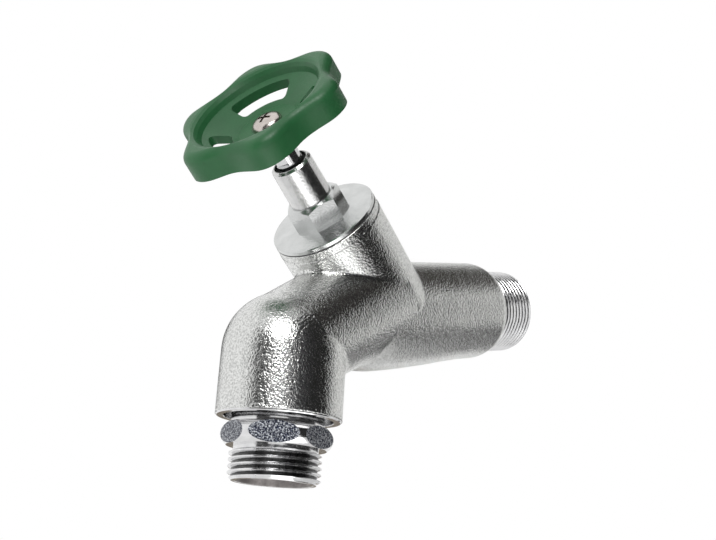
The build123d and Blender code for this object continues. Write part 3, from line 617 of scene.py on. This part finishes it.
def cast_chrome():
    """Bright plating over a rough casting: the grain is relief rather than colour."""
    look = Look("cast_chrome", 0.2, 1.0)
    grain = look.noise(0.3, 2.0, 0.6)
    ripple = look.noise(0.6, 2.0)
    swell = look.noise(6.0, 1.0)
    look.set("Base Color", look.ramp(grain, [
        (0.35, (0.50, 0.505, 0.495)),
        (0.6, (0.78, 0.785, 0.77)),
    ]))
    look.set("Roughness", look.spread(ripple, 0.14, 0.22))
    look.bump([(swell, 0.15), (ripple, 0.09), (grain, 0.13)])
    return look.material


def turned_chrome(name, wear):
    """Polished turned plating; wear makes it rougher in spots."""
    look = Look(name, 0.12, 1.0)
    fine = look.noise(0.5, 3.0)
    look.set("Base Color", look.ramp(look.noise(2.0, 3.0), [
        (0.3, (0.68, 0.68, 0.69)),
        (0.7, (0.82, 0.82, 0.82)),
    ]))
    look.set("Roughness", look.spread(fine, 0.07, 0.07 + wear))
    look.bump([(look.noise(1.5, 2.0), 0.03 * wear), (fine, 0.02 * wear)])
    return look.material


def satin_chrome():
    """The bonnet's soft, even plating."""
    look = Look("satin_chrome", 0.35, 1.0)
    fine = look.noise(0.3, 3.0)
    look.set("Base Color", look.ramp(look.noise(2.5, 3.0), [
        (0.3, (0.58, 0.59, 0.585)),
        (0.7, (0.68, 0.69, 0.685)),
    ]))
    look.set("Roughness", look.spread(fine, 0.16, 0.24))
    look.bump([(fine, 0.03)])
    return look.material


def turned_satin():
    """The sleeve's plating, between polished and soft."""
    look = Look("turned_satin", 0.25, 1.0)
    fine = look.noise(0.35, 3.0)
    look.set("Base Color", look.ramp(look.noise(2.0, 3.0), [
        (0.3, (0.62, 0.62, 0.62)),
        (0.7, (0.72, 0.72, 0.715)),
    ]))
    look.set("Roughness", look.spread(fine, 0.16, 0.26))
    look.bump([(fine, 0.07)])
    return look.material


def milled_flats():
    """Dark, speckled flats as the milling cutter leaves them under the plating."""
    look = Look("milled_flats", 0.25, 1.0)
    grain = look.noise(0.22, 2.0, 0.6)
    look.set("Base Color", look.ramp(grain, [
        (0.47, (0.03, 0.035, 0.055)),
        (0.66, (0.56, 0.58, 0.61)),
    ]))
    look.set("Roughness", look.spread(grain, 0.22, 0.34))
    look.bump([(grain, 0.2)])
    return look.material


def green_plastic():
    """The handwheel's fine matt moulding."""
    look = Look("green_plastic", 0.4)
    look.shader.inputs["Specular IOR Level"].default_value = 0.4
    fine = look.noise(0.25, 3.0)
    look.set("Base Color", look.ramp(look.noise(3.0, 4.0), [
        (0.3, (0.018, 0.104, 0.035)),
        (0.7, (0.023, 0.122, 0.042)),
    ]))
    look.set("Roughness", look.spread(fine, 0.34, 0.46))
    look.bump([(fine, 0.02), (look.noise(2.0), 0.03)])
    return look.material


def plain_metal(name, dark, light, roughness):
    look = Look(name, roughness, 1.0)
    fine = look.noise(0.3, 3.0)
    look.set("Base Color", look.ramp(look.noise(1.5, 3.0), [(0.3, dark), (0.7, light)]))
    look.set("Roughness", look.spread(fine, roughness * 0.8, roughness * 1.3))
    look.bump([(fine, 0.015)])
    return look.material


def plain_moulding(name, dark, light, roughness):
    look = Look(name, roughness)
    fine = look.noise(0.3, 3.0)
    look.set("Base Color", look.ramp(look.noise(1.5, 3.0), [(0.3, dark), (0.7, light)]))
    look.set("Roughness", look.spread(fine, roughness * 0.85, roughness * 1.15))
    look.bump([(fine, 0.015)])
    return look.material


def dress(names, material):
    """Gives CAD nodes that are shown as they are their material and slot."""
    for name in names:
        node[name].data.materials.clear()
        node[name].data.materials.append(material)


# Stage, light and camera
STUDIO_MIDDLE = Vector((0, -0.08, 0.0))


def card(name, azimuths, elevations, colour):
    """A studio card as a patch of a sphere round the tap, seen only by reflections."""
    steps, distance = 12, 0.9
    points = []
    for azimuth in np.radians(np.linspace(*azimuths, steps + 1)):
        for elevation in np.radians(np.linspace(*elevations, steps + 1)):
            level = math.cos(elevation)
            away = (math.sin(azimuth) * level, -math.cos(azimuth) * level, math.sin(elevation))
            points.append([distance * part for part in away])
    faces = []
    for i in range(steps):
        for j in range(steps):
            corner = i * (steps + 1) + j
            faces.append((corner, corner + 1, corner + steps + 2, corner + steps + 1))
    mesh = bpy.data.meshes.new(name)
    mesh.from_pydata(points, [], faces)
    sheet = bpy.data.objects.new(name, mesh)
    sheet.location = STUDIO_MIDDLE
    bpy.context.scene.collection.objects.link(sheet)
    material = bpy.data.materials.new(name)
    material.use_nodes = True
    nodes, links = material.node_tree.nodes, material.node_tree.links
    shader = nodes["Principled BSDF"]
    shader.inputs["Base Color"].default_value = (*colour, 1.0)
    shader.inputs["Roughness"].default_value = 0.9
    clear = nodes.new("ShaderNodeBsdfTransparent")
    mix = nodes.new("ShaderNodeMixShader")
    ray = nodes.new("ShaderNodeLightPath")
    links.new(ray.outputs["Is Camera Ray"], mix.inputs["Fac"])
    links.new(shader.outputs["BSDF"], mix.inputs[1])
    links.new(clear.outputs["BSDF"], mix.inputs[2])
    links.new(mix.outputs["Shader"], nodes["Material Output"].inputs["Surface"])
    mesh.materials.append(material)


def floor():
    """A plain pale floor, far enough below to stay out of the photograph's view."""
    mesh = bpy.data.meshes.new("floor")
    reach, height = 0.4, -0.3
    corners = [(-reach, -reach), (reach, -reach), (reach, reach), (-reach, reach)]
    mesh.from_pydata([(x, y, height) for x, y in corners], [], [(0, 1, 2, 3)])
    ground = bpy.data.objects.new("floor", mesh)
    bpy.context.scene.collection.objects.link(ground)
    material = bpy.data.materials.new("floor")
    material.use_nodes = True
    shader = material.node_tree.nodes["Principled BSDF"]
    shader.inputs["Base Color"].default_value = (0.9, 0.9, 0.9, 1.0)
    shader.inputs["Roughness"].default_value = 0.8
    mesh.materials.append(material)


def soft_box(name, azimuth, elevation, distance, width, height, power):
    """A soft lamp that faces the tap from this direction. Metres and watts."""
    data = bpy.data.lights.new(name, "AREA")
    data.shape = "RECTANGLE"
    data.size = width
    data.size_y = height
    data.energy = power
    lamp = bpy.data.objects.new(name, data)
    bpy.context.scene.collection.objects.link(lamp)
    a, e = math.radians(azimuth), math.radians(elevation)
    away = Vector((math.sin(a) * math.cos(e), -math.cos(a) * math.cos(e), math.sin(e)))
    lamp.location = STUDIO_MIDDLE + away * distance
    lamp.rotation_euler = away.to_track_quat("Z", "Y").to_euler()


def white_world(level):
    """White to the eye and in reflections, and a softer level as light."""
    world = bpy.data.worlds.new("world")
    bpy.context.scene.world = world
    world.use_nodes = True
    nodes, links = world.node_tree.nodes, world.node_tree.links
    shown = nodes["Background"]
    shown.inputs["Color"].default_value = (1, 1, 1, 1)
    shown.inputs["Strength"].default_value = 1.0
    light = nodes.new("ShaderNodeBackground")
    light.inputs["Color"].default_value = (1, 1, 1, 1)
    light.inputs["Strength"].default_value = level
    ray = nodes.new("ShaderNodeLightPath")
    seen = ray.outputs["Is Camera Ray"]
    for kind in ("Is Glossy Ray", "Is Transmission Ray"):
        either = nodes.new("ShaderNodeMath")
        either.operation = "MAXIMUM"
        links.new(seen, either.inputs[0])
        links.new(ray.outputs[kind], either.inputs[1])
        seen = either.outputs["Value"]
    mix = nodes.new("ShaderNodeMixShader")
    links.new(seen, mix.inputs["Fac"])
    links.new(light.outputs["Background"], mix.inputs[1])
    links.new(shown.outputs["Background"], mix.inputs[2])
    links.new(mix.outputs["Shader"], nodes["World Output"].inputs["Surface"])


def camera():
    """The photograph's camera, solved together with the sizes. Metres, row frame."""
    picture_width, focal_pixels = 716, 1693.355
    data = bpy.data.cameras.new("camera")
    data.sensor_fit = "HORIZONTAL"
    data.sensor_width = 36.0
    data.lens = focal_pixels / picture_width * data.sensor_width
    data.clip_start = 0.01
    data.clip_end = 50
    eye = bpy.data.objects.new("camera", data)
    bpy.context.scene.collection.objects.link(eye)
    right = Vector((0.7874178, 0.6136791, -0.0580619))
    up = Vector((0.0829890, -0.0122048, 0.9964757))
    forward = Vector((-0.6108076, 0.7894612, 0.0605389))
    place = Matrix((right, up, -forward)).transposed().to_4x4()
    place.translation = Vector((0.3124404, -0.4804752, -0.0179692))
    eye.matrix_world = place
    bpy.context.scene.camera = eye


# The pieces in their materials
cast = cast_chrome()
bright = turned_chrome("turned_chrome", 0.12)
worn = turned_chrome("worn_chrome", 0.22)
dull = turned_satin()
satin = satin_chrome()
flats = milled_flats()
green = green_plastic()
# painted shade: dark greys in the thread's grooves, standing in for the shade there
groove_shade = plain_metal("painted_groove_shade", (0.05, 0.05, 0.05), (0.13, 0.13, 0.13), 0.3)
# painted shade: darker greys on the nipple's bore wall, standing in for the shade inside it
bore_shade = plain_metal("painted_bore_shade", (0.20, 0.185, 0.18), (0.32, 0.30, 0.29), 0.55)
brass = plain_metal("brass", (0.60, 0.42, 0.18), (0.72, 0.54, 0.28), 0.25)
steel = plain_metal("steel", (0.52, 0.47, 0.44), (0.72, 0.66, 0.62), 0.22)
rubber = plain_moulding("rubber", (0.015, 0.015, 0.015), (0.03, 0.03, 0.03), 0.6)
fibre = plain_moulding("seal_fibre", (0.03, 0.03, 0.03), (0.07, 0.07, 0.07), 0.7)
white = plain_moulding("white_plastic", (0.62, 0.62, 0.58), (0.74, 0.74, 0.70), 0.4)

for piece in (cast_skin(cast), inlet_end(worn, groove_shade), spout_lip(bright), neck_band(cast)):
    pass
nipple = (nipple_core(bright, bore_shade), nipple_hexagon(bright, flats), nipple_thread(worn, groove_shade, bore_shade))
dress(["gland_sleeve"], dull)
dress(["spindle"], bright)
dress(["bonnet"], satin)
dress(["handwheel"], green)
dress(["wheel_screw"], steel)
check_coil(steel)
dress(["disc_holder", "disc_screw"], brass)
dress(["bonnet_seal", "spindle_snap_ring"], fibre)
dress(["thrust_washer", "check_housing", "check_guide", "check_poppet"], white)
dress(["spindle_ring_lower", "spindle_ring_upper", "nipple_ring", "check_housing_ring"], rubber)
dress(["disc_washer", "poppet_seal"], rubber)

white_world(1.15)
floor()
card("right_card", (84, 143), (-32, 62), (0.015, 0.015, 0.015))
card("back_card", (143, 202), (23, 70), (0.06, 0.055, 0.05))
card("rear_card", (143, 218), (-19, 23), (0.98, 0.98, 0.97))
card("low_card", (132, 198), (-56, -17), (0.02, 0.02, 0.025))
card("lip_card", (212, 232), (-32, -12), (0.25, 0.22, 0.18))
card("edge_card", (222, 250), (0, 14), (0.05, 0.05, 0.05))
card("front_card", (16, 84), (8, 62), (0.05, 0.05, 0.055))
card("front_low_card", (60, 84), (-20, 8), (0.05, 0.05, 0.055))
card("left_card", (-14, 18), (-20, 50), (0.06, 0.06, 0.06))
soft_box("key", 36, 41, 0.8, 0.34, 0.36, 3.2)
soft_box("low", 58, -60, 0.3, 0.22, 0.22, 0.24)
camera()
bpy.context.scene.view_settings.view_transform = "Standard"
